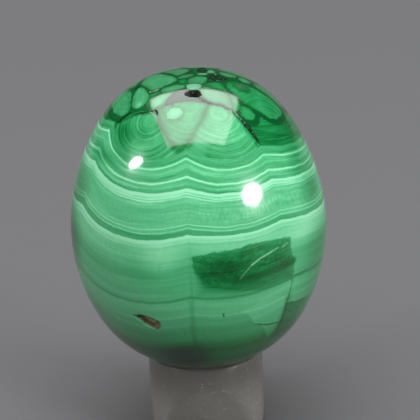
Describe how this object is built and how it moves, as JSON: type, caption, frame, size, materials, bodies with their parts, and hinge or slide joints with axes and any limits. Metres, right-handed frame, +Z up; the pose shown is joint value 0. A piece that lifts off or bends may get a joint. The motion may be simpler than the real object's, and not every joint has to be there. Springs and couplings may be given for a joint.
{
  "type": "decorative egg on stand",
  "caption": "Polished egg of banded green stone with small open pits, resting loose on a short upright ring of clear tube.",
  "frame": {"origin": "centre of the stand ring's lower face, on the surface that it stands on", "axes": "+Z up along the ring's and the egg's common axis, the pictured front faces -Y, +X to the right in the picture"},
  "size_m": [0.0434, 0.0434, 0.0652],
  "materials": {
    "banded_stone": "polished, banded in pale, mid and dark green",
    "clear_tube": "clear, polished",
    "brown_crust": "rough earthy crust",
    "black_crust": "rough dark crust"
  },
  "bodies": {
    "stand": {"stand_ring": "clear_tube"},
    "egg": {"egg": "banded_stone", "pit_crust": "brown_crust", "vug_crust": "black_crust"}
  },
  "joints": [
    {"name": "egg_lift", "type": "slide", "parent": "stand", "child": "egg", "axis": [0, 0, 1], "range_m": [0, 0.03]}
  ]
}
